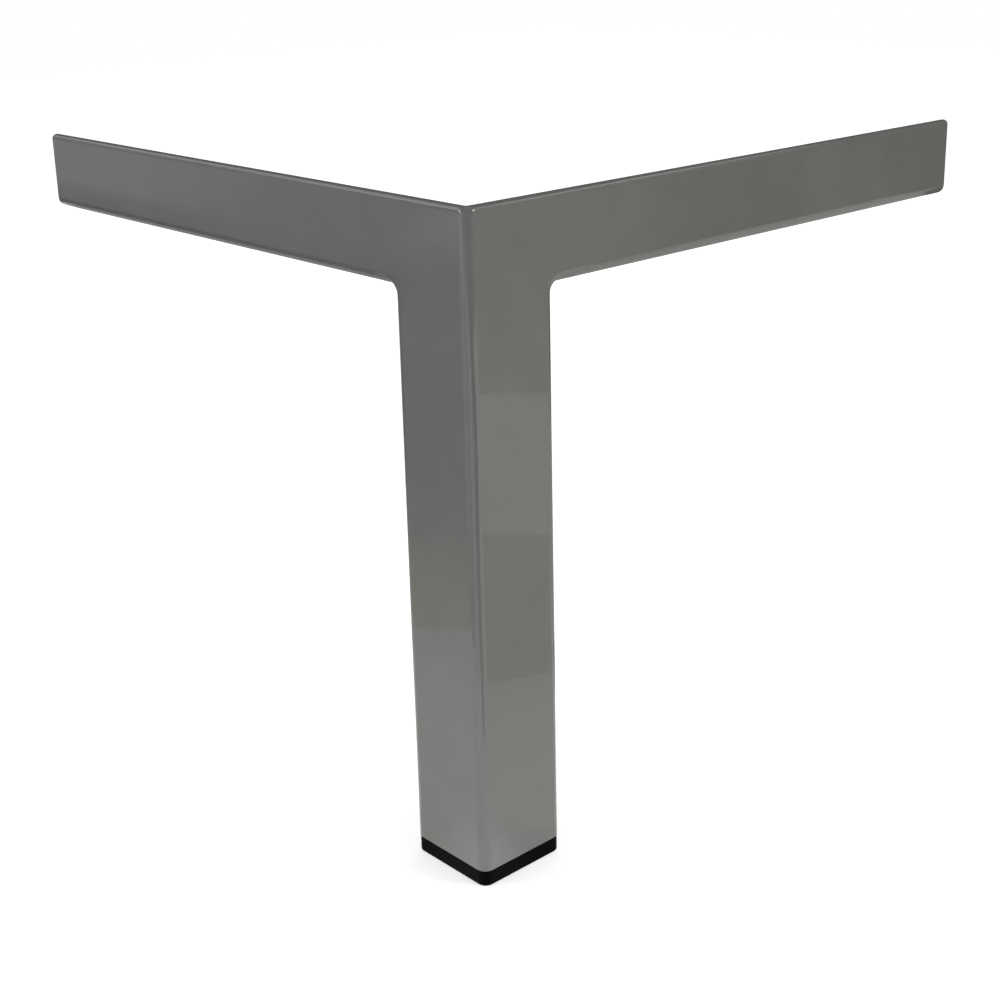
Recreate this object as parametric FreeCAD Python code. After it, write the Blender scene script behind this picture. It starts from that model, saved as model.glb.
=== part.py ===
import FreeCAD, Part
import os

# Corner leg for a low table or cabinet: a square leg whose outer faces run on into two arms at right angles.
# One steel sheet is folded into the leg and arms and welded along the leg's back corner.
# A moulded plug closes the leg's lower end and stands on the floor.
# Millimetres. The origin is the middle of the plug's underside, +Z is up, the arms run along +X and +Y.

# Steel leg and arms
STEEL_HEIGHT = 250.0  # cut lower end of the leg to the top edge of the arms
LEG_WIDTH = 40.0  # outside of the square leg
SHEET = 3.0  # thickness of the sheet
INSIDE_BEND = 1.0  # inside radius of every fold
ARM_LENGTH = 278.0  # outer corner of the leg to the free end of an arm
ARM_HEIGHT = 32.0  # underside to top edge of an arm
NECK_RADIUS = 3.5  # hollow between an arm's underside and the leg's side
SEAM_RADIUS = 2.5  # welded back corner of the leg, ground round
EDGE_BREAK = 2.0  # rounding of the arms' cut top edges, on the outer side

# Flange folded inwards along each arm's lower edge, which the furniture rests on
FLANGE_DEPTH = 25.0  # outer face of the arm to the flange's free edge
FLANGE_CORNER = 5.0  # rounding of the flange's free corner
SCREW_HOLE = 6.0  # diameter
SCREW_MARGIN = 30.0  # hole to the arm's free end and to the leg's side

# Plastic plug in the leg's lower end
FOOT_HEIGHT = 6.5  # part of the plug that shows under the steel
FOOT_INSET = 0.2  # its sides lie this far inside the leg's faces
FOOT_EDGE = 0.6  # rounding round its underside
FOOT_GROOVE = 0.5  # bevel round its upper edge, which leaves a fine groove under the steel
FOOT_FLOOR = 3.0  # thickness of the plug's floor under its hollow
PLUG_LENGTH = 20.0  # part of the plug inside the leg
PLUG_WALL = 2.0
RIB_COUNT = 4
RIB_DEPTH = 1.5  # how far the gripping ribs stand out
RIB_HEIGHT = 1.6
RIB_BEVEL = 0.8  # lead-in round the top of each rib
RIB_FIT = 0.1  # between the ribs and the inside of the leg

BEND_RADIUS = INSIDE_BEND + SHEET
CORNER = -LEG_WIDTH / 2
TOP = FOOT_HEIGHT + STEEL_HEIGHT
ARM_UNDERSIDE = TOP - ARM_HEIGHT
SEAT = ARM_UNDERSIDE + SHEET
RIB_PITCH = PLUG_LENGTH / (RIB_COUNT + 1)
CLEAR = 1.0  # how far a cutting solid reaches past what it cuts
SAME_PLACE = 1e-4  # values closer than this are equal


def block(low, high):
    """Box between two corners."""
    size = [b - a for a, b in zip(low, high)]
    return Part.makeBox(*size, FreeCAD.Vector(*low))


def lies_on(edge, **place):
    """Whether a whole edge keeps the given x, y or z."""
    first, last = edge.ParameterRange
    points = [edge.valueAt(first + (last - first) * share) for share in (0.0, 0.5, 1.0)]
    offsets = [getattr(point, axis) - value for point in points for axis, value in place.items()]
    return max(map(abs, offsets)) < SAME_PLACE


def swapped(shape):
    """Mirror image across the plane x = y, which turns the right arm into the left one."""
    return shape.mirror(FreeCAD.Vector(0, 0, 0), FreeCAD.Vector(1, -1, 0))


def folded_form(inset, depth, base, reach, top):
    """Leg and both arms as one solid that lies inset inside the outer faces, with its folds rounded."""
    near = CORNER + inset
    far = CORNER + LEG_WIDTH - inset
    under = ARM_UNDERSIDE + inset
    behind = CORNER + depth
    end = CORNER + reach
    column = block((near, near, base), (far, far, under))
    right_arm = block((near, near, under), (end, behind, top))
    left_arm = swapped(right_arm)
    form = column.fuse([right_arm, left_arm]).removeSplitter()

    necks = []
    for edge in form.Edges:
        middle = edge.CenterOfMass
        right_neck = lies_on(edge, x=far, z=under) and middle.y < behind
        left_neck = lies_on(edge, y=far, z=under) and middle.x < behind
        if right_neck or left_neck:
            necks.append(edge)
    form = form.makeFillet(NECK_RADIUS + inset, necks)

    folds = []
    for edge in form.Edges:
        outer_face_edge = lies_on(edge, x=near) or lies_on(edge, y=near)
        cut_end = (
            lies_on(edge, z=top)
            or lies_on(edge, z=base)
            or lies_on(edge, x=end)
            or lies_on(edge, y=end)
        )
        if outer_face_edge and not cut_end:
            folds.append(edge)
    return form.makeFillet(BEND_RADIUS - inset, folds)


def screw_holes():
    """Pins that cut the right flange's two screw holes."""
    across = CORNER + (SHEET + FLANGE_DEPTH) / 2
    along = (CORNER + LEG_WIDTH + SCREW_MARGIN, CORNER + ARM_LENGTH - SCREW_MARGIN)
    down = FreeCAD.Vector(0, 0, -1)
    return [
        Part.makeCylinder(SCREW_HOLE / 2, SHEET + 2 * CLEAR, FreeCAD.Vector(x, across, SEAT + CLEAR), down)
        for x in along
    ]


def make_leg_frame():
    """Folded sheet-steel leg and arms."""
    outside = folded_form(0.0, FLANGE_DEPTH, FOOT_HEIGHT, ARM_LENGTH, TOP)
    back = CORNER + LEG_WIDTH
    seam = [edge for edge in outside.Edges if lies_on(edge, x=back, y=back)]
    outside = outside.makeFillet(SEAM_RADIUS, seam)
    top_edges = []
    for edge in outside.Edges:
        outer = lies_on(edge, x=CORNER) or lies_on(edge, y=CORNER) or edge.Curve.TypeId == "Part::GeomCircle"
        if outer and lies_on(edge, z=TOP):
            top_edges.append(edge)
    outside = outside.makeFillet(EDGE_BREAK, top_edges)
    free_corners = []
    for edge in outside.Edges:
        right = lies_on(edge, x=CORNER + ARM_LENGTH, y=CORNER + FLANGE_DEPTH)
        left = lies_on(edge, x=CORNER + FLANGE_DEPTH, y=CORNER + ARM_LENGTH)
        if right or left:
            free_corners.append(edge)
    outside = outside.makeFillet(FLANGE_CORNER, free_corners)
    inside = folded_form(SHEET, FLANGE_DEPTH, FOOT_HEIGHT - CLEAR, ARM_LENGTH + CLEAR, TOP + CLEAR)
    holes = screw_holes()
    return outside.cut([inside] + holes + [swapped(hole) for hole in holes])


def square_prism(width, corner, low, high):
    """Upright square prism about the leg's axis with rounded upright edges."""
    half = width / 2
    prism = block((-half, -half, low), (half, half, high))
    upright = [edge for edge in prism.Edges if not (lies_on(edge, z=low) or lies_on(edge, z=high))]
    return prism.makeFillet(corner, upright)


def make_foot_plug():
    """Moulded plug: a square foot under the leg and a hollow ribbed shank that grips the leg's inside."""
    foot = square_prism(LEG_WIDTH - 2 * FOOT_INSET, BEND_RADIUS - FOOT_INSET, 0.0, FOOT_HEIGHT)
    foot = foot.makeFillet(FOOT_EDGE, [edge for edge in foot.Edges if lies_on(edge, z=0.0)])
    foot = foot.makeChamfer(FOOT_GROOVE, [edge for edge in foot.Edges if lies_on(edge, z=FOOT_HEIGHT)])
    rib_width = LEG_WIDTH - 2 * (SHEET + RIB_FIT)
    shank_width = rib_width - 2 * RIB_DEPTH
    shank_top = FOOT_HEIGHT + PLUG_LENGTH
    pieces = [square_prism(shank_width, INSIDE_BEND, FOOT_HEIGHT, shank_top)]
    for number in range(1, RIB_COUNT + 1):
        rib_top = FOOT_HEIGHT + number * RIB_PITCH
        rib = square_prism(rib_width, INSIDE_BEND, rib_top - RIB_HEIGHT, rib_top)
        lead_in = [edge for edge in rib.Edges if lies_on(edge, z=rib_top)]
        pieces.append(rib.makeChamfer(RIB_BEVEL, lead_in))
    plug = foot.fuse(pieces).removeSplitter()
    hollow_width = shank_width - 2 * PLUG_WALL
    return plug.cut(square_prism(hollow_width, INSIDE_BEND, FOOT_FLOOR, shank_top + CLEAR))


os.makedirs("parts", exist_ok=True)
make_leg_frame().exportStep("parts/leg_frame.step")
make_foot_plug().exportStep("parts/foot_plug.step")
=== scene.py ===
import math

import bpy
from mathutils import Matrix, Vector


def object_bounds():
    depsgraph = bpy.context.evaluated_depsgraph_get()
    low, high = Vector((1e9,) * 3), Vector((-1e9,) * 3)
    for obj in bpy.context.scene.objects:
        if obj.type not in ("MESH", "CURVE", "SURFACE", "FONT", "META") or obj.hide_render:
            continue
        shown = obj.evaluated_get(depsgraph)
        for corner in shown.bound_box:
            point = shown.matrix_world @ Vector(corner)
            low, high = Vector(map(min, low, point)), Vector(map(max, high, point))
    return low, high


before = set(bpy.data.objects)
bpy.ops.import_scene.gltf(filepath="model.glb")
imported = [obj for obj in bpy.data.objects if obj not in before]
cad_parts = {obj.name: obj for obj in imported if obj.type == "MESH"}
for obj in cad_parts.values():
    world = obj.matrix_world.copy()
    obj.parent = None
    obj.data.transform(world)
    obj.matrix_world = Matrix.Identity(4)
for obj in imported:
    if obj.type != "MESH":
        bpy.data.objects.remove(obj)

CAD_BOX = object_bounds()

bl_info = {
    "name": "Corner Furniture Leg",
    "version": (1, 0, 0),
    "blender": (4, 5, 0),
    "location": "3D View > Sidebar > Corner Leg",
    "description": "Finishes the folded steel leg and its plastic plug, and sets them in a photo studio",
    "category": "Object",
}

STEEL_NODE = "leg_frame"
PLUG_NODE = "foot_plug"
MM = 0.001
LAYER = 0.3 * MM  # height between cards that lie over each other on the floor
NOISE = {"From Min": 0.3, "From Max": 0.7}  # values that a noise texture mostly keeps to
WHITE = (1.0, 1.0, 1.0, 1.0)


def linear(hex_colour):
    """sRGB hex colour as linear red, green and blue."""
    channels = [int(hex_colour[i:i + 2], 16) / 255 for i in (1, 3, 5)]
    return tuple(c / 12.92 if c <= 0.04045 else ((c + 0.055) / 1.055) ** 2.4 for c in channels)


def opaque(colour):
    """Colour with full alpha, as the shader sockets take it."""
    return (*colour, 1.0)


def add_node(tree, kind, inputs=None, **settings):
    """Adds a shader node, makes its settings, and fills its inputs with values or other nodes' outputs."""
    node = tree.nodes.new("ShaderNode" + kind)
    for name, value in settings.items():
        setattr(node, name, value)
    for name, value in (inputs or {}).items():
        if isinstance(value, bpy.types.NodeSocket):
            tree.links.new(value, node.inputs[name])
        else:
            node.inputs[name].default_value = value
    return node


def new_material(name):
    """Empty node material and its output node."""
    material = bpy.data.materials.new(name)
    material.use_nodes = True
    material.node_tree.nodes.clear()
    output = material.node_tree.nodes.new("ShaderNodeOutputMaterial")
    return material, material.node_tree, output


class LacquerFinish(bpy.types.PropertyGroup):
    """Lacquer on the steel leg and arms."""

    colour: bpy.props.FloatVectorProperty(
        name="Lacquer", description="Colour of the silver-grey lacquer",
        subtype="COLOR", size=3, min=0.0, max=1.0, default=linear("#6E6F6E"),
    )
    cloud: bpy.props.FloatProperty(
        name="Cloud", description="Size of the faint light and dark patches that spraying leaves",
        subtype="DISTANCE", unit="LENGTH", default=18.0 * MM,
    )
    peel: bpy.props.FloatProperty(
        name="Orange peel", description="Distance between the small waves in the lacquer's surface",
        subtype="DISTANCE", unit="LENGTH", default=2.2 * MM,
    )
    peel_height: bpy.props.FloatProperty(
        name="Peel height", description="Height of those waves",
        subtype="DISTANCE", unit="LENGTH", precision=6, default=0.016 * MM,
    )
    # Real flake is under 0.1 mm, too fine to show, so its speckle is drawn coarser.
    flake: bpy.props.FloatProperty(
        name="Flake", description="Size of the metal flake's speckle",
        subtype="DISTANCE", unit="LENGTH", default=0.5 * MM,
    )
    nib: bpy.props.FloatProperty(
        name="Nibs", description="Distance between the dust nibs caught in the lacquer",
        subtype="DISTANCE", unit="LENGTH", default=9.0 * MM,
    )
    nib_height: bpy.props.FloatProperty(
        name="Nib height", description="Height of those nibs",
        subtype="DISTANCE", unit="LENGTH", precision=6, default=0.03 * MM,
    )


class PlugFinish(bpy.types.PropertyGroup):
    """Plastic of the foot plug."""

    colour: bpy.props.FloatVectorProperty(
        name="Plastic", description="Colour of the black plastic",
        subtype="COLOR", size=3, min=0.0, max=1.0, default=linear("#050506"),
    )
    # The real grain is too fine to show, so it is drawn coarser.
    grain: bpy.props.FloatProperty(
        name="Grain", description="Spacing of the mould's spark-eroded grain",
        subtype="DISTANCE", unit="LENGTH", default=0.45 * MM,
    )


class StudioSettings(bpy.types.PropertyGroup):
    """Floor, cards, light and camera."""

    floor: bpy.props.FloatVectorProperty(
        name="Floor", description="Colour of the studio floor",
        subtype="COLOR", size=3, min=0.0, max=1.0, default=linear("#F2F2F2"),
    )
    eye: bpy.props.FloatVectorProperty(
        name="Camera", description="Place of the camera",
        subtype="TRANSLATION", unit="LENGTH", size=3, default=(-0.37292, -0.42602, 0.35344),
    )
    aim: bpy.props.FloatVectorProperty(
        name="Aim", description="Point that the camera looks at",
        subtype="TRANSLATION", unit="LENGTH", size=3, default=(0.02267, 0.01037, 0.15985),
    )
    roll: bpy.props.FloatProperty(
        name="Roll", description="Tilt of the camera about its view",
        subtype="ANGLE", unit="ROTATION", default=math.radians(-1.303),
    )
    lens: bpy.props.FloatProperty(
        name="Lens", description="Focal length on a 36 mm sensor, in millimetres", default=59.78,
    )


def lacquer_material(finish):
    """Silver-grey metallic lacquer sprayed on pressed steel and baked.

    Fine flake under a clear gloss gives a grey that is flat from afar and mirrors the room in a weak sharp
    image. Each mirrored edge wavers a little, because the film dries with an orange-peel surface."""
    material, tree, output = new_material("silver_lacquer_sprayed_on_steel")
    place = add_node(tree, "TexCoord").outputs["Object"]

    cloud = add_node(tree, "TexNoise", {"Vector": place, "Scale": 1 / finish.cloud, "Detail": 2.0})
    flake = add_node(tree, "TexNoise", {"Vector": place, "Scale": 1 / finish.flake, "Detail": 1.0})
    patch_range = {"Value": cloud.outputs["Fac"], **NOISE, "To Min": 0.97, "To Max": 1.03}
    patches = add_node(tree, "MapRange", patch_range)
    speckle_range = {"Value": flake.outputs["Fac"], **NOISE, "To Min": 0.94, "To Max": 1.06}
    speckle = add_node(tree, "MapRange", speckle_range)
    tone = add_node(tree, "Math", {0: patches.outputs[0], 1: speckle.outputs[0]}, operation="MULTIPLY")
    colour = add_node(tree, "VectorMath", {0: finish.colour, 3: tone.outputs[0]}, operation="SCALE")

    peel = add_node(tree, "TexNoise", {"Vector": place, "Scale": 1 / finish.peel, "Detail": 1.0})
    waves = add_node(tree, "Math", {0: peel.outputs["Fac"], 1: finish.peel_height}, operation="MULTIPLY")
    dust = add_node(tree, "TexVoronoi", {"Vector": place, "Scale": 1 / finish.nib})
    nib_share = 0.05  # radius of a nib as a share of the distance between nibs
    nibs = add_node(tree, "MapRange", {
        "Value": dust.outputs["Distance"],
        "From Min": 0.0,
        "From Max": nib_share,
        "To Min": finish.nib_height,
        "To Max": 0.0,
    })
    height = add_node(tree, "Math", {0: waves.outputs[0], 1: nibs.outputs[0]}, operation="ADD")
    surface = add_node(tree, "Bump", {"Height": height.outputs[0], "Strength": 1.0, "Distance": 1.0})
    paint = add_node(tree, "BsdfPrincipled", {
        "Base Color": colour.outputs[0],
        "Metallic": 0.25,
        "Roughness": 0.45,
        "Specular IOR Level": 0.0,  # under the clear coat the paint has no gloss of its own
        "Coat Weight": 1.0,
        "Coat Roughness": 0.03,
        "Coat IOR": 1.5,
        "Normal": surface.outputs[0],
        "Coat Normal": surface.outputs[0],
    })
    tree.links.new(paint.outputs[0], output.inputs["Surface"])
    return material


def plug_material(finish):
    """Black polypropylene, injection moulded in a spark-eroded mould.

    The fine grain breaks the gloss, so the foot stays nearly black, with a soft grey on its edges."""
    material, tree, output = new_material("black_polypropylene_moulded")
    place = add_node(tree, "TexCoord").outputs["Object"]
    grain = add_node(tree, "TexNoise", {"Vector": place, "Scale": 1 / finish.grain, "Detail": 3.0})
    height = grain.outputs["Fac"]
    surface = add_node(tree, "Bump", {"Height": height, "Strength": 0.6, "Distance": 0.02 * MM})
    shade = add_node(tree, "MapRange", {"Value": height, **NOISE, "To Min": 0.9, "To Max": 1.1})
    colour = add_node(tree, "VectorMath", {0: finish.colour, 3: shade.outputs[0]}, operation="SCALE")
    roughness = add_node(tree, "MapRange", {"Value": height, **NOISE, "To Min": 0.42, "To Max": 0.56})
    plastic = add_node(tree, "BsdfPrincipled", {
        "Base Color": colour.outputs[0],
        "Roughness": roughness.outputs[0],
        "IOR": 1.49,
        "Specular IOR Level": 0.02,
        "Normal": surface.outputs[0],
    })
    tree.links.new(plastic.outputs[0], output.inputs["Surface"])
    return material


def dress(node_name, material):
    """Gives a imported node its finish."""
    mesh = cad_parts[node_name].data
    mesh.materials.clear()
    mesh.materials.append(material)


def seen_directly(tree):
    """1 for rays that show a surface to the eye, straight, mirrored or through glass, and 0 for others."""
    path = add_node(tree, "LightPath").outputs
    indirect = {0: path["Is Glossy Ray"], 1: path["Is Transmission Ray"]}
    mirrored = add_node(tree, "Math", indirect, operation="MAXIMUM")
    either = {0: path["Is Camera Ray"], 1: mirrored.outputs[0]}
    return add_node(tree, "Math", either, operation="MAXIMUM").outputs[0]


def ribbon(name, edges):
    """Sheet that runs from each crosswise edge to the next. An edge is a pair of end points."""
    points = [tuple(point) for edge in edges for point in edge]
    faces = [(i, i + 1, i + 3, i + 2) for i in range(0, len(points) - 2, 2)]
    mesh = bpy.data.meshes.new(name)
    mesh.from_pydata(points, [], faces)
    obj = bpy.data.objects.new(name, mesh)
    bpy.context.scene.collection.objects.link(obj)
    return obj


def add_floor(studio):
    """Plain white floor that keeps the leg's shadow."""
    reach = 3.0
    below = -0.1 * MM
    own_glow = 0.46  # brings the lit paper up to white for the eye, and lights nothing
    floor = ribbon("studio_floor", [[(x, y, below) for x in (-reach, reach)] for y in (-reach, reach)])
    material, tree, output = new_material("white_paper_floor")
    paper = add_node(tree, "BsdfDiffuse", {"Color": opaque(studio.floor)})
    lift = add_node(tree, "Math", {0: seen_directly(tree), 1: own_glow}, operation="MULTIPLY")
    glow = add_node(tree, "Emission", {"Color": WHITE, "Strength": lift.outputs[0]})
    both = add_node(tree, "AddShader", {0: paper.outputs[0], 1: glow.outputs[0]})
    tree.links.new(both.outputs[0], output.inputs["Surface"])
    floor.data.materials.append(material)


def card_material():
    """Even glow in the tint that each card carries on its edges: the painted reflections and painted
    highlights that the lacquer mirrors.
    """
    material, tree, output = new_material("painted_reflection_card")
    tint = add_node(tree, "VertexColor", layer_name="tint")
    glow = add_node(tree, "Emission", {"Color": tint.outputs["Color"], "Strength": 1.0})
    tree.links.new(glow.outputs[0], output.inputs["Surface"])
    return material


def add_card(name, material, edges, glow):
    """Glowing card that only glossy surfaces see, kept out of the picture like the flags beside a shiny
    product; it lights nothing, so its tint is a painted reflection, light or dark, in the lacquer.

    An edge is a colour and two end points, and the colour runs from each edge to the next."""
    card = ribbon(name, [(start, end) for _, start, end in edges])
    tint = card.data.color_attributes.new("tint", "FLOAT_COLOR", "POINT")
    for number, point in enumerate(tint.data):
        colour = linear(edges[number // 2][0])
        point.color = opaque([channel * glow for channel in colour])
    card.data.materials.append(material)
    card.visible_camera = False
    card.visible_diffuse = False
    card.visible_shadow = False
    card.visible_transmission = False
    card.visible_volume_scatter = False


class CardTable:
    """Sets the painted-reflection cards round the leg, in metres from its axis.

    Side is to the right and depth away from the camera. Azimuth is in degrees, from the way to the camera
    round to the right."""

    def __init__(self, studio):
        look = Vector(studio.aim) - Vector(studio.eye)
        self.away = Vector((look.x, look.y, 0)).normalized()
        self.right = Vector((self.away.y, -self.away.x, 0))
        self.material = card_material()

    def spot(self, side, depth, height):
        """Point by its side, depth and height."""
        return self.right * side + self.away * depth + Vector((0, 0, height))

    def around(self, azimuth, radius, height):
        """Point by its azimuth, distance from the leg's axis and height."""
        turn = math.radians(azimuth)
        return self.spot(radius * math.sin(turn), -radius * math.cos(turn), height)

    def lying(self, name, *edges, layer=1, glow=1.0):
        """Card on the floor. An edge is a colour and two places, each a side and a depth."""
        height = layer * LAYER
        placed = [
            (colour, self.spot(*start, height), self.spot(*end, height))
            for colour, start, end in edges
        ]
        add_card(name, self.material, placed, glow)

    def by_side(self, name, tints, front, back, **settings):
        """Card on the floor whose colour changes from left to right."""
        edges = [(colour, (side, front), (side, back)) for side, colour in tints.items()]
        self.lying(name, *edges, **settings)

    def by_depth(self, name, tints, left, right, **settings):
        """Card on the floor whose colour changes from near to far."""
        edges = [(colour, (left, depth), (right, depth)) for depth, colour in tints.items()]
        self.lying(name, *edges, **settings)

    def under_arm(self, name, *edges, layer=3):
        """Card on the floor with its places in the leg's own x and y, so its edges run along an arm."""
        height = layer * LAYER
        placed = [
            (colour, Vector((*start, height)), Vector((*end, height)))
            for colour, start, end in edges
        ]
        add_card(name, self.material, placed, 1.0)

    def fan(self, name, *edges, layer=2):
        """Card on the floor before the leg's corner. An edge is a colour, a radius and two azimuths."""
        height = layer * LAYER
        placed = [
            (colour, self.around(first, radius, height), self.around(last, radius, height))
            for colour, radius, first, last in edges
        ]
        add_card(name, self.material, placed, 1.0)

    def by_azimuth(self, name, tints, inner, outer, layer, glow):
        """Card on the floor between two radii whose colour changes round the leg."""
        height = layer * LAYER
        placed = [
            (colour, self.around(azimuth, inner, height), self.around(azimuth, outer, height))
            for azimuth, colour in tints.items()
        ]
        add_card(name, self.material, placed, glow)

    def upright(self, name, *edges, glow, distance=2.2):
        """Standing card. An edge is a colour, an azimuth and two elevations seen from the leg's top."""
        top = CAD_BOX[1][2]
        placed = []
        for colour, azimuth, low, high in edges:
            heights = [top + distance * math.tan(math.radians(angle)) for angle in (low, high)]
            placed.append((colour, *[self.around(azimuth, distance, height) for height in heights]))
        add_card(name, self.material, placed, glow)


def add_left_cards(table):
    """Painted reflection of a lit and shaded floor, in glowing cards, for the leg's left face and the left
    arm: pale where the floor would be lit, dark where it would lie in shade.
    """
    table.by_side(
        "left_near_painted_reflection", {-0.226: "#DADAD5", -0.14: "#F1F1EC", -0.05: "#FFFFFC"},
        front=-0.03, back=0.13, glow=1.25,
    )
    table.by_side(
        "left_painted_reflection",
        {
            -0.228: "#DAD4BE", -0.30: "#CECAB0", -0.37: "#A3A39D", -0.42: "#A6A6A3", -0.46: "#939494",
            -0.69: "#979999", -0.84: "#929494", -1.07: "#969898", -1.30: "#BEBFBD", -3.0: "#F2F2EC",
        },
        front=-0.10, back=0.13,
    )
    table.by_depth(
        "left_arm_painted_reflection",
        {
            0.13: "#8E9090", 0.155: "#A4A6A5", 0.18: "#A4A6A5", 0.215: "#999C9B", 0.30: "#9EA1A1",
            0.36: "#A5A8A8", 0.42: "#A5A8A7", 0.49: "#BEC0BE", 0.63: "#C6C8C4", 0.72: "#C2C4BF",
            3.0: "#C2C4BF",
        },
        left=-3.0, right=-0.5,
    )
    table.lying(
        "left_far_painted_reflection",
        ("#9C9F9E", (-1.10, 0.185), (-2.4, 0.40)),
        ("#D0D1CC", (-1.22, 0.15), (-2.4, 0.25)),
        ("#E0E0DA", (-1.15, 0.131), (-2.4, 0.131)),
        layer=2,
    )
    # Dark glowing card: painted dark reflection that draws the dark line along the left arm's lower fold.
    table.under_arm(
        "left_fold_dark_painted_reflection",
        ("#A0A2A2", (-0.73, 0.86), (-0.73, 2.6)),
        ("#767878", (-0.655, 0.79), (-0.655, 2.6)),
        ("#2A2C2C", (-0.45, 0.60), (-0.45, 2.6)),
        ("#1E2020", (-0.083, 0.27), (-0.083, 2.6)),
        layer=2,
    )
    # Pale glowing card: painted highlight, the light line along the left arm's lower fold.
    table.under_arm(
        "left_fold_light",
        ("#BFC1C1", (-0.083, 0.24), (-0.083, 0.655)),
        ("#B6B8B8", (-0.015, 0.20), (-0.015, 0.66)),
        ("#A6A8A8", (0.067, 0.20), (0.067, 0.68)),
        ("#939595", (0.174, 0.25), (0.174, 0.78)),
        ("#8C8E8E", (0.255, 0.33), (0.255, 0.87)),
        ("#7C7E7E", (0.60, 0.60), (0.60, 1.39)),
    )


def add_right_cards(table):
    """Painted reflection of a lit and shaded floor, in glowing cards, for the leg's right face and the
    right arm: bright where the floor would be lit, darker where it would lie in shade.
    """
    table.lying(
        "right_bright_painted_reflection",
        ("#FFFFF8", (0.04, -0.02), (0.05, 0.02)),
        ("#F5F8EB", (0.12, -0.06), (0.145, 0.02)),
        ("#E4E7D9", (0.155, -0.075), (0.197, 0.02)),
        glow=1.25,
    )
    table.lying(
        "right_near_painted_reflection",
        ("#DBCFB4", (0.155, -0.075), (0.197, 0.02)),
        ("#E2D6BC", (0.360, -0.168), (0.360, 0.0)),
    )
    table.lying(
        "right_middle_painted_reflection",
        ("#FBFFF0", (0.360, -0.168), (0.360, 0.0)),
        ("#FFFFF2", (0.641, -0.30), (0.641, 0.0)),
        glow=1.08,
    )
    table.lying(
        "right_painted_reflection",
        ("#D4CCBA", (0.641, -0.30), (0.641, 0.0)),
        ("#C6BCA6", (0.836, -0.36), (0.836, 0.0)),
        ("#B7AD96", (1.07, -0.45), (1.07, 0.0)),
        ("#B7AD96", (3.0, -1.2), (3.0, 0.0)),
    )
    table.by_depth(
        "right_arm_painted_reflection",
        {
            0.0: "#A39981", 0.06: "#7C745C", 0.12: "#57513F", 0.16: "#5E5747", 0.24: "#958A76",
            0.30: "#837867", 0.36: "#665D4C", 0.42: "#584F40", 3.0: "#584F40",
        },
        left=0.70, right=3.0,
    )
    # Dark glowing card: painted dark reflection along the right arm's lower fold.
    table.lying(
        "right_fold_dark_painted_reflection",
        ("#272727", (-0.10, 0.15), (0.70, 0.0)),
        ("#272727", (-0.10, 3.0), (0.70, 3.0)),
    )
    # Pale glowing card: painted highlight, the bright band along the right arm's lower fold.
    table.under_arm(
        "right_fold_light",
        ("#EEEBE3", (0.36, -0.33), (1.14, -0.70)),
        ("#EEEBE3", (0.33, -0.30), (0.78, -0.30)),
        ("#EDEBE5", (0.24, -0.168), (0.63, -0.168)),
        ("#DFDDD7", (0.20, -0.072), (0.575, -0.072)),
        ("#CCCBC6", (0.20, 0.008), (0.57, 0.008)),
        ("#BEBDB9", (0.20, 0.05), (0.583, 0.05)),
        ("#BBBBB8", (0.20, 0.097), (0.608, 0.097)),
        ("#A2A2A0", (0.28, 0.225), (0.722, 0.225)),
        ("#505152", (0.33, 0.29), (0.80, 0.29)),
        ("#3A3B3C", (0.60, 0.60), (1.20, 0.60)),
    )


def add_corner_cards(table):
    """Painted reflection for the leg's front corner, in glowing cards: pale floor near the leg, and a dark
    strip before it that paints the dark line down the corner's fold.
    """
    table.by_azimuth(
        "corner_near_painted_reflection",
        {-97: "#CBCBC5", -67: "#E1E1DC", -37: "#F3F3EF", -7: "#FCFCFB", 23: "#F9F9F8", 60: "#D6D6D4"},
        inner=0.02, outer=0.20, layer=2, glow=1.7,
    )
    table.fan(
        "left_corner_painted_reflection",
        ("#CFCDC4", 0.262, -89, -25),
        ("#D2D2CC", 0.40, -89, -25),
        ("#D6D7D6", 0.82, -89, -25),
        ("#D6D7D6", 0.95, -89, -33),
        ("#D6D7D6", 1.10, -89, -53),
        ("#DADBDA", 1.31, -89, -71),
        ("#DADBDA", 3.0, -89, -78),
    )
    table.fan(
        "front_pale_painted_reflection",
        ("#E7E7E7", 0.24, -8, 9),
        ("#E7E7E7", 0.40, -9, 8),
        ("#E4E5E8", 0.515, -8, 15),
        ("#E4E5E8", 0.64, -8, 11),
        ("#E0E2E6", 0.82, -6, 0),
        ("#C6CAD2", 0.95, -14, -3),
        ("#BCC0CA", 1.10, -35, -9),
        ("#B8BDC8", 1.31, -50, -19),
        ("#B8BDC8", 3.0, -60, -25),
    )
    # Dark glowing strip in front of the corner: painted dark reflection, the dark line down the fold.
    table.fan(
        "front_dark_painted_reflection",
        ("#C6C8C9", 0.14, 10, 26),
        ("#A6A8A9", 0.23, 9, 31),
        ("#9C9EA0", 0.31, 6, 29),
        ("#686A6D", 0.40, 8, 32),
        ("#5E6064", 0.515, 15, 39),
        ("#56595E", 0.64, 11, 37),
        ("#666C72", 0.82, 0, 24),
        ("#757B84", 0.95, -3, 33),
        ("#8A909A", 1.10, -9, 43),
        ("#A2A8B3", 1.31, -19, 83),
        ("#A2A8B3", 3.0, -25, 84),
        layer=3,
    )


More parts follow.
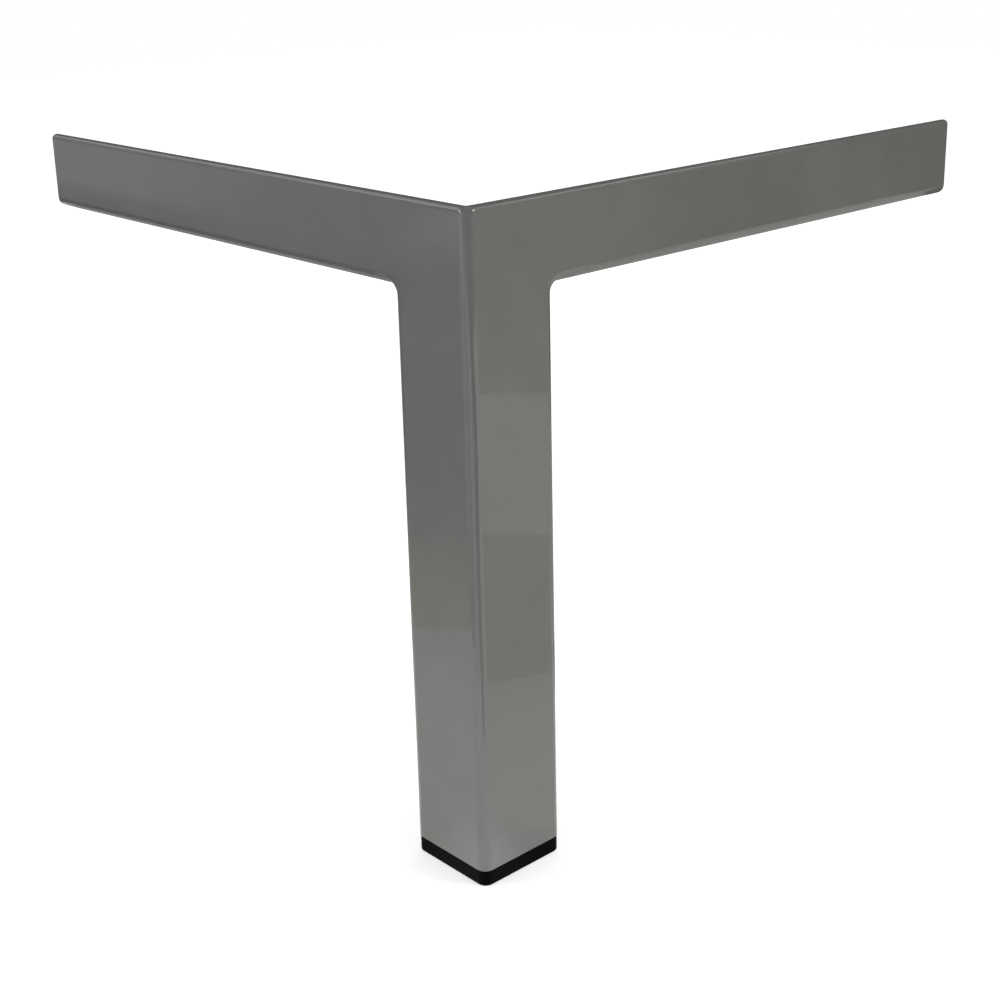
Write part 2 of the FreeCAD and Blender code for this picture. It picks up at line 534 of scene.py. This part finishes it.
def add_room_cards(table):
    """Painted highlights and painted dark reflections for the rounded top edges, in glowing cards that
    only glossy rays see: bright panels and glints, and a dark room of walls and ceiling.
    """
    table.upright(
        "left_painted_highlight",
        ("#B4B4B4", -140, 21, 42),
        ("#B4B4B4", -113, 21, 42),
        ("#F0F0F0", -107, 21, 42),
        ("#FFFFFF", -97, 21, 42),
        glow=2.4,
    )
    # Bright glowing cards: painted glints where the top edges meet the corner's fold.
    table.upright("left_glint", ("#FFFFFF", -76, -3, 25), ("#FFFFFF", -60, -3, 25), glow=5.0)
    table.upright(
        "right_glint",
        ("#FFFFFF", 70, -3, 25),
        ("#FFFFFF", 75, -3, 25),
        ("#303030", 81, -3, 25),
        glow=6.0,
    )
    table.upright("left_low_painted_reflection", ("#8C8E8E", -140, -5, 21), ("#8C8E8E", -97, -5, 21), glow=1.0)
    table.upright(
        "right_painted_highlight",
        ("#FFFFFF", 96, 34, 43),
        ("#FFFFFF", 108, 34, 43),
        ("#C8C8C8", 116, 34, 43),
        ("#BCBCBC", 130, 34, 43),
        glow=2.4,
    )
    far = 2.5
    foot = -0.05
    ceiling = 3.2
    # Dark walls, pale front wall and dark ceiling are glowing cards that paint the room's reflection; they
    # light nothing.
    dark = "#484A4C"
    pale = "#8A8F98"
    corners = [(-far, -far), (-far, far), (far, far), (far, -far)]
    walls = [(dark, table.spot(*corner, foot), table.spot(*corner, ceiling)) for corner in corners]
    add_card("back_walls_painted_reflection", table.material, walls, 1.0)
    front = [
        (pale, table.spot(side, -far, foot), table.spot(side, -far, ceiling))
        for side in (-far, far)
    ]
    add_card("front_wall_painted_reflection", table.material, front, 1.0)
    above = [
        (dark, table.spot(-far, depth, ceiling), table.spot(far, depth, ceiling))
        for depth in (-far, far)
    ]
    add_card("ceiling", table.material, above, 1.0)


def add_cards(studio):
    """Painted reflections that the lacquer mirrors, in glowing cards: the floor's light and shade, a dark
    strip before the corner, bright panels and glints, and a dark room.
    """
    table = CardTable(studio)
    add_left_cards(table)
    add_right_cards(table)
    add_corner_cards(table)
    add_room_cards(table)


def add_softbox(name, place, target, size, watts, colour):
    """Square softbox facing a point."""
    lamp = bpy.data.lights.new(name, "AREA")
    lamp.shape = "SQUARE"
    lamp.size = size
    lamp.energy = watts
    lamp.color = linear(colour)
    obj = bpy.data.objects.new(name, lamp)
    obj.location = place
    obj.rotation_euler = (Vector(target) - Vector(place)).to_track_quat("-Z", "Y").to_euler()
    bpy.context.scene.collection.objects.link(obj)


def add_lights():
    """Softboxes above and on each side, and an even light from the room."""
    middle = (0.05, 0.05, 0.15)
    add_softbox("softbox_above", (0.1, 0.1, 2.0), middle, size=1.6, watts=4.0, colour="#FFFFFF")
    add_softbox("softbox_left", (-1.72, 1.02, 1.19), middle, size=0.6, watts=7.5, colour="#F4F9FF")
    add_softbox("softbox_right", (1.07, -1.69, 1.32), middle, size=0.6, watts=12.0, colour="#FFF6E8")
    room_light = 0.62
    room_seen = 1.0  # white
    world = bpy.data.worlds.new("studio_room")
    bpy.context.scene.world = world
    world.use_nodes = True
    tree = world.node_tree
    tree.nodes.clear()
    output = tree.nodes.new("ShaderNodeOutputWorld")
    levels = {"Value": seen_directly(tree), "To Min": room_light, "To Max": room_seen}
    strength = add_node(tree, "MapRange", levels)
    room = add_node(tree, "Background", {"Color": WHITE, "Strength": strength.outputs[0]})
    tree.links.new(room.outputs[0], output.inputs["Surface"])


def add_camera(studio):
    """Camera at the photograph's place."""
    lens = bpy.data.cameras.new("product_camera")
    lens.sensor_width = 36.0
    lens.lens = studio.lens
    lens.shift_x = -0.005  # the photograph's middle lies a little off the lens's axis
    lens.shift_y = -0.06
    lens.clip_start = 0.01
    camera = bpy.data.objects.new("product_camera", lens)
    look = Vector(studio.aim) - Vector(studio.eye)
    turn = look.to_track_quat("-Z", "Y").to_matrix() @ Matrix.Rotation(studio.roll, 3, "Z")
    camera.location = studio.eye
    camera.rotation_euler = turn.to_euler()
    bpy.context.scene.collection.objects.link(camera)
    bpy.context.scene.camera = camera


class LacquerSteelLeg(bpy.types.Operator):
    """Sprays the folded steel leg and arms with silver-grey lacquer"""

    bl_idname = "corner_leg.lacquer_steel_leg"
    bl_label = "Lacquer Steel Leg"

    def execute(self, context):
        dress(STEEL_NODE, lacquer_material(context.scene.corner_leg_lacquer))
        return {"FINISHED"}


class FinishFootPlug(bpy.types.Operator):
    """Gives the foot plug its moulded black plastic"""

    bl_idname = "corner_leg.finish_foot_plug"
    bl_label = "Finish Foot Plug"

    def execute(self, context):
        dress(PLUG_NODE, plug_material(context.scene.corner_leg_plug))
        return {"FINISHED"}


class BuildStudio(bpy.types.Operator):
    """Builds the floor, cards, softboxes and camera"""

    bl_idname = "corner_leg.build_studio"
    bl_label = "Build Studio"

    def execute(self, context):
        studio = context.scene.corner_leg_studio
        add_floor(studio)
        add_cards(studio)
        add_lights()
        add_camera(studio)
        context.scene.view_settings.view_transform = "Standard"
        return {"FINISHED"}


class CornerLegPanel(bpy.types.Panel):
    """Settings and steps of the corner leg"""

    bl_idname = "VIEW3D_PT_corner_leg"
    bl_label = "Corner Leg"
    bl_space_type = "VIEW_3D"
    bl_region_type = "UI"
    bl_category = "Corner Leg"

    def draw(self, context):
        for step, settings in STEPS.items():
            box = self.layout.box()
            group = getattr(context.scene, settings)
            for name in group.bl_rna.properties.keys():
                if name not in ("rna_type", "name"):
                    box.prop(group, name)
            box.operator(step.bl_idname)


STEPS = {
    LacquerSteelLeg: "corner_leg_lacquer",
    FinishFootPlug: "corner_leg_plug",
    BuildStudio: "corner_leg_studio",
}
SETTINGS = {
    "corner_leg_lacquer": LacquerFinish,
    "corner_leg_plug": PlugFinish,
    "corner_leg_studio": StudioSettings,
}
CLASSES = (*SETTINGS.values(), *STEPS, CornerLegPanel)


def register():
    """Adds the settings, steps and panel to Blender."""
    for cls in CLASSES:
        bpy.utils.register_class(cls)
    for name, group in SETTINGS.items():
        setattr(bpy.types.Scene, name, bpy.props.PointerProperty(type=group))


def unregister():
    """Takes them out again."""
    for name in SETTINGS:
        delattr(bpy.types.Scene, name)
    for cls in reversed(CLASSES):
        bpy.utils.unregister_class(cls)


def main():
    """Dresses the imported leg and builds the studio."""
    register()
    bpy.ops.corner_leg.lacquer_steel_leg()
    bpy.ops.corner_leg.finish_foot_plug()
    bpy.ops.corner_leg.build_studio()


if __name__ == "__main__":
    main()
